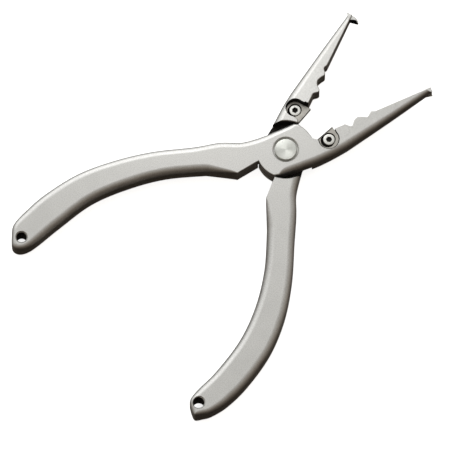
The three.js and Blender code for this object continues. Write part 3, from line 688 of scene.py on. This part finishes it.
def rear_lever():
    lever = as_object("rear_lever_form", lever_blank("rear"))
    lever.data.materials.append(aluminium)
    floor, lap = PLATE_LOW["rear"] - SEAT_GAP, MID - LAP_GAP / 2
    combine(lever, (hook_shape(),), "UNION")
    combine(lever, (
        flared_rod(SHOULDER_RADIUS, lap, THICKNESS + 1, THICKNESS, SHOULDER_RIM, steps=192),
        rod(BUSH_OUTER + BUSH_GAP, REAR_COUNTERBORE - 1, lap + 1),
        flared_rod(PIVOT_RADIUS + PIVOT_RING_GAP, -1, REAR_COUNTERBORE, 0, PIVOT_RIM, steps=128),
        ring(CHAMBER_INNER, CHAMBER_OUTER, MID - CHAMBER_HALF, lap + 1),
        rod(WASHER_OUTER + BUSH_GAP, MID - WASHER_RECESS, lap + 1),
        tang_hole(LOWER_TANG_DEG - OPENING_DEG / 2, MID - CHAMBER_HALF - SPRING_TANG, lap),
        pocket("rear", floor),
        prism(relief_outline("rear"), ((SHEAR_HEIGHT - SHEAR_GAP, 0), (THICKNESS + 1, 0))),
        screw_seat("rear", floor),
        lanyard_hole("rear"),
    ), "DIFFERENCE", aluminium)
    put_in_place(lever, OPENING_DEG / 2)
    return lever


# ---- cutters and their screws --------------------------------------------------------------------

def grinding_wedge(kind, low, high):
    """What is ground off a cutter along its cutting edge, on the face away from the shear plane."""
    (heel_x, heel_y), (toe_x, toe_y) = CUTTERS[kind]["heel"], CUTTERS[kind]["toe"]
    hand = HANDS[kind]
    outer, drop = (high, -1) if hand > 0 else (low, 1)
    section = ((-1, drop * -1), (CUTTER_BEVEL, drop * -1), (CUTTER_BEVEL, 0), (-1, drop * 2.2 * CUTTER_BEVEL))
    run = Vector((toe_x - heel_x, toe_y - heel_y)).normalized()
    into = Vector((run.y, -run.x))
    rings = []
    for x, y, sign in ((heel_x, heel_y, -3), (toe_x, toe_y, 3)):
        start = Vector((x, y)) + run * sign
        rings.append([((start.x + into.x * away) * hand, start.y + into.y * away, outer + rise)
                      for away, rise in section])
    return raised(rings)


def cutter(kind):
    low = PLATE_LOW[kind]
    high = low + CUTTER_THICKNESS
    x, y = CUTTERS[kind]["screw"]
    recess = high - SCREW_SINK - SCREW_HEAD_HEIGHT - SEAT_GAP
    chip_x, chip_y = CHIP_RECESS_SHIFT
    chip_radius = CUTTERS[kind]["round"] - CHIP_RECESS_RIM - math.hypot(chip_x, chip_y)
    plate = as_object(f"{kind}_cutter_form", eased_prism(cutter_outline(kind), low, high, CUTTER_EDGE))
    plate.data.materials.append(tool_steel)
    combine(plate, (
        flared_rod(SCREW_HEAD_RADIUS + SCREW_HEAD_GAP, recess, high + 1, high, CUTTER_EDGE, x * HANDS[kind], y),
        flared_rod(chip_radius, recess, high + 1, high, CUTTER_EDGE, (x + chip_x) * HANDS[kind], y + chip_y),
        rod(SCREW_SHANK_RADIUS + INSERT_GAP, low - 1, recess + 1, x * HANDS[kind], y, 48),
    ), "DIFFERENCE", tool_steel)
    combine(plate, (grinding_wedge(kind, low, high),), "DIFFERENCE")
    put_in_place(plate, -HANDS[kind] * OPENING_DEG / 2, 25)
    return plate


def rounded_corner(radius, height, edge, steps=6):
    """Profile points round the upper outer edge of a turned head, from its side to its face."""
    return [(radius - edge * (1 - math.cos(math.pi / 2 * step / steps)),
             height - edge * (1 - math.sin(math.pi / 2 * step / steps))) for step in range(steps + 1)]


def cutter_screw(kind):
    x, y = CUTTERS[kind]["screw"]
    top = PLATE_LOW[kind] + CUTTER_THICKNESS - SCREW_SINK
    foot, tip = top - SCREW_HEAD_HEIGHT, PLATE_LOW[kind] - SEAT_GAP - INSERT_LENGTH
    radius = SCREW_SHANK_RADIUS
    profile = [(0, tip), (radius - 0.3, tip), (radius, tip + 0.3), (radius, foot), (SCREW_HEAD_RADIUS, foot),
               *rounded_corner(SCREW_HEAD_RADIUS, top, 0.4), (SCREW_SOCKET_RADIUS * 0.5, top), (0, top)]
    screw = as_object(f"{kind}_cutter_screw_form", spun(profile, steps=72))
    screw.data.materials.append(screw_metal)
    hexagon = arc(0, 0, SCREW_SOCKET_RADIUS, 0, 300, 5)
    combine(screw, (prism(hexagon, ((top - SCREW_SOCKET_DEPTH, 0), (top + 1, 0))),), "DIFFERENCE", screw_metal)
    screw.data.transform(Matrix.Translation((x * HANDS[kind], y, 0)))
    put_in_place(screw, -HANDS[kind] * OPENING_DEG / 2)
    return screw


# ---- pivot ---------------------------------------------------------------------------------------

def pivot_barrel():
    seat, end = THICKNESS - PIVOT_HEAD_HEIGHT, PIVOT_SCREW_HEAD_HEIGHT + SEAT_GAP
    profile = [(0, THICKNESS - BARREL_FLOOR), (BARREL_BORE, THICKNESS - BARREL_FLOOR), (BARREL_BORE, end),
               (BARREL_RADIUS, end), (BARREL_RADIUS, seat), (PIVOT_RADIUS, seat),
               *rounded_corner(PIVOT_RADIUS, THICKNESS, PIVOT_EDGE), (PIVOT_RADIUS * 0.5, THICKNESS),
               (0, THICKNESS)]
    barrel = as_object("pivot_barrel_form", spun(profile, steps=128))
    put_in_place(barrel, 0)
    return barrel


def pivot_screw():
    head, radius = PIVOT_SCREW_HEAD_HEIGHT, PIVOT_SCREW_RADIUS
    end = head + PIVOT_SCREW_LENGTH
    corner = [(r, THICKNESS - h) for r, h in reversed(rounded_corner(PIVOT_RADIUS, THICKNESS, PIVOT_EDGE))]
    profile = [(0, 0), *corner, (PIVOT_RADIUS, head), (radius, head), (radius, end - 0.4), (radius - 0.4, end),
               (0, end)]
    screw = as_object("pivot_screw_form", spun(profile, steps=128))
    radius, depth = SPANNER_HOLE_RADIUS, SPANNER_HOLE_DEPTH
    combine(screw, [spun([(0, -1), (radius + 0.12, -1), (radius + 0.12, 0), (radius, 0.12), (radius, depth),
                          (0, depth)], hand * SPANNER_HOLE_OFFSET, 0, 32) for hand in (1, -1)], "DIFFERENCE")
    put_in_place(screw, 0)
    return screw


# ---- materials -----------------------------------------------------------------------------------

class Surface:
    """A material's node tree, with the few kinds of node that the finishes below are made of."""

    def __init__(self, name):
        self.material = bpy.data.materials.new(name)
        self.material.use_nodes = True
        self.nodes = self.material.node_tree.nodes
        self.links = self.material.node_tree.links
        self.shader = self.nodes["Principled BSDF"]
        self.place = self.nodes.new("ShaderNodeTexCoord").outputs["Object"]

    def noise(self, scale, detail=3, roughness=0.5, place=None):
        node = self.nodes.new("ShaderNodeTexNoise")
        node.inputs["Scale"].default_value = scale
        node.inputs["Detail"].default_value = detail
        node.inputs["Roughness"].default_value = roughness
        self.links.new(place or self.place, node.inputs["Vector"])
        return node.outputs["Fac"]

    def stretched(self, scale):
        node = self.nodes.new("ShaderNodeMapping")
        node.inputs["Scale"].default_value = scale
        self.links.new(self.place, node.inputs["Vector"])
        return node.outputs["Vector"]

    def ramp(self, value, stops):
        node = self.nodes.new("ShaderNodeValToRGB")
        set_ramp(node, stops)
        self.links.new(value, node.inputs["Fac"])
        return node.outputs["Color"]

    def span(self, value, low, high, start=0.0, end=1.0):
        node = self.nodes.new("ShaderNodeMapRange")
        node.inputs["From Min"].default_value = start
        node.inputs["From Max"].default_value = end
        node.inputs["To Min"].default_value = low
        node.inputs["To Max"].default_value = high
        self.links.new(value, node.inputs["Value"])
        return node.outputs["Result"]

    def sum(self, first, second):
        node = self.nodes.new("ShaderNodeMath")
        node.operation = "ADD"
        self.links.new(first, node.inputs[0])
        self.links.new(second, node.inputs[1])
        return node.outputs["Value"]

    def bump(self, height, depth, strength=1.0, under=None):
        node = self.nodes.new("ShaderNodeBump")
        node.inputs["Strength"].default_value = strength
        node.inputs["Distance"].default_value = depth
        self.links.new(height, node.inputs["Height"])
        if under:
            self.links.new(under, node.inputs["Normal"])
        return node.outputs["Normal"]

    def rings(self, spacing):
        """Fine concentric grooves about the pivot axis."""
        flat = self.nodes.new("ShaderNodeVectorMath")
        flat.operation = "MULTIPLY"
        flat.inputs[1].default_value = (1, 1, 0)
        self.links.new(self.place, flat.inputs[0])
        radius = self.nodes.new("ShaderNodeVectorMath")
        radius.operation = "LENGTH"
        self.links.new(flat.outputs["Vector"], radius.inputs[0])
        waves = self.nodes.new("ShaderNodeMath")
        waves.operation = "MULTIPLY"
        waves.inputs[1].default_value = 2 * math.pi / spacing
        self.links.new(radius.outputs["Value"], waves.inputs[0])
        sine = self.nodes.new("ShaderNodeMath")
        sine.operation = "SINE"
        self.links.new(waves.outputs["Value"], sine.inputs[0])
        return sine.outputs["Value"]

    def around_axis(self):
        """The direction round the pivot axis, for turned faces."""
        cross = self.nodes.new("ShaderNodeVectorMath")
        cross.operation = "CROSS_PRODUCT"
        cross.inputs[0].default_value = (0, 0, 1)
        self.links.new(self.place, cross.inputs[1])
        turn = self.nodes.new("ShaderNodeVectorTransform")
        turn.vector_type = "VECTOR"
        turn.convert_from, turn.convert_to = "OBJECT", "WORLD"
        self.links.new(cross.outputs["Vector"], turn.inputs["Vector"])
        return turn.outputs["Vector"]

    def set(self, **sockets):
        for name, value in sockets.items():
            socket = self.shader.inputs[name.replace("_", " ")]
            if isinstance(value, bpy.types.NodeSocket):
                self.links.new(value, socket)
            else:
                socket.default_value = value
        return self


def blasted_aluminium():
    surface = Surface("blasted_aluminium")
    cloud = surface.noise(140, 4, 0.6)
    speckle = surface.noise(2600, 2, 0.6)
    tone = surface.ramp(surface.sum(surface.span(cloud, -0.1, 0.1), speckle),
                        ((0.30, (0.60, 0.595, 0.575)), (0.5, (0.71, 0.705, 0.685)), (0.72, (0.82, 0.82, 0.80))))
    grain = surface.noise(5200, 3, 0.65)
    surface.set(Metallic=1.0, Base_Color=tone, Roughness=surface.span(cloud, 0.36, 0.46, 0.3, 0.7),
                Normal=surface.bump(grain, 0.00002, 0.55))
    return surface.material


def turned_steel():
    surface = Surface("turned_steel")
    cloud = surface.noise(420, 3, 0.6)
    tone = surface.ramp(cloud, ((0.3, (0.73, 0.745, 0.70)), (0.7, (0.83, 0.84, 0.80))))
    grooves = surface.bump(surface.rings(0.00016), 0.0000035, 0.8)
    surface.set(Metallic=1.0, Base_Color=tone, Roughness=surface.span(cloud, 0.27, 0.37, 0.3, 0.7),
                Anisotropic=0.85, Anisotropic_Rotation=0.25, Tangent=surface.around_axis(),
                Normal=surface.bump(surface.noise(4200, 2), 0.000004, 0.5, grooves))
    return surface.material


def ground_steel(name, dark, light, rough, along=(1, 1, 1)):
    surface = Surface(name)
    cloud = surface.noise(600, 3, 0.6)
    tone = surface.ramp(cloud, ((0.3, dark), (0.7, light)))
    scratches = surface.noise(1500, 4, 0.7, surface.stretched(along))
    gloss = surface.span(scratches, rough - 0.05, rough + 0.08, 0.3, 0.7)
    surface.set(Metallic=1.0, Base_Color=tone, Roughness=gloss,
                Normal=surface.bump(scratches, 0.000012, 0.5))
    return surface.material


def painted_recess_shade():
    """Painted shade: a near-black colour on the faces of the lap, the pockets and the holes that lie deeper
    than their rims, where shade falls.
    """
    surface = Surface("painted_recess_shade")
    cloud = surface.noise(500, 4, 0.6)
    tone = surface.ramp(cloud, ((0.3, (0.006, 0.005, 0.004)), (0.7, (0.020, 0.017, 0.014))))
    surface.set(Base_Color=tone, Roughness=surface.span(cloud, 0.45, 0.7, 0.3, 0.7), Specular_IOR_Level=0.2,
                Normal=surface.bump(surface.noise(3500), 0.00002, 0.5))
    return surface.material


def sintered_bronze():
    surface = Surface("sintered_bronze")
    cloud = surface.noise(700, 4, 0.7)
    tone = surface.ramp(cloud, ((0.3, (0.42, 0.26, 0.11)), (0.7, (0.62, 0.42, 0.20))))
    grain = surface.bump(surface.noise(5000), 0.00002, 0.6)
    surface.set(Metallic=1.0, Base_Color=tone, Roughness=0.45, Normal=grain)
    return surface.material


def washer_polymer():
    surface = Surface("washer_polymer")
    cloud = surface.noise(900, 3, 0.6)
    tone = surface.ramp(cloud, ((0.3, (0.76, 0.74, 0.66)), (0.7, (0.84, 0.82, 0.75))))
    surface.set(Base_Color=tone, Roughness=surface.span(cloud, 0.42, 0.55, 0.3, 0.7),
                Normal=surface.bump(surface.noise(6000), 0.00001, 0.4))
    return surface.material


# ---- assembly ------------------------------------------------------------------------------------

make_camera()
make_view()
make_world()
make_light("soft_box", SOFT_BOX_PLACE, SOFT_BOX_SIZE, SOFT_BOX_POWER)
make_floor()

aluminium = blasted_aluminium()
stainless = turned_steel()
screw_metal = ground_steel("screw_steel", (0.78, 0.78, 0.74), (0.88, 0.88, 0.84), 0.32)
tool_steel = ground_steel("cutter_steel", (0.40, 0.385, 0.35), (0.56, 0.54, 0.50), 0.33, (1, 0.12, 1))
# near-black painted shade for the deep faces that cuts uncover
recess_shade_paint = painted_recess_shade()
wire_steel = ground_steel("spring_wire", (0.50, 0.50, 0.48), (0.66, 0.66, 0.64), 0.30)
bronze = sintered_bronze()
polymer = washer_polymer()

FRONT_BODY, REAR_BODY = "front_lever_body", "rear_lever_body"
fit(front_lever(), aluminium, FRONT_BODY, "front_lever")
fit(rear_lever(), aluminium, REAR_BODY, "rear_lever")
for kind, body in (("front", FRONT_BODY), ("rear", REAR_BODY)):
    fit(cutter(kind), tool_steel, body, f"{kind}_cutter")
    fit(cutter_screw(kind), screw_metal, body, f"{kind}_cutter_screw")
fit(pivot_barrel(), stainless, FRONT_BODY, "pivot_barrel")
fit(pivot_screw(), stainless, FRONT_BODY, "pivot_screw")

KEPT_NODES = {
    "front_cutter_insert": screw_metal, "rear_cutter_insert": screw_metal, "front_bush": bronze,
    "rear_bush": bronze, "thrust_washer": polymer, "disc_spring": wire_steel, "return_spring": wire_steel,
}
for name, material in KEPT_NODES.items():
    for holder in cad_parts[name].material_slots:
        holder.material = material
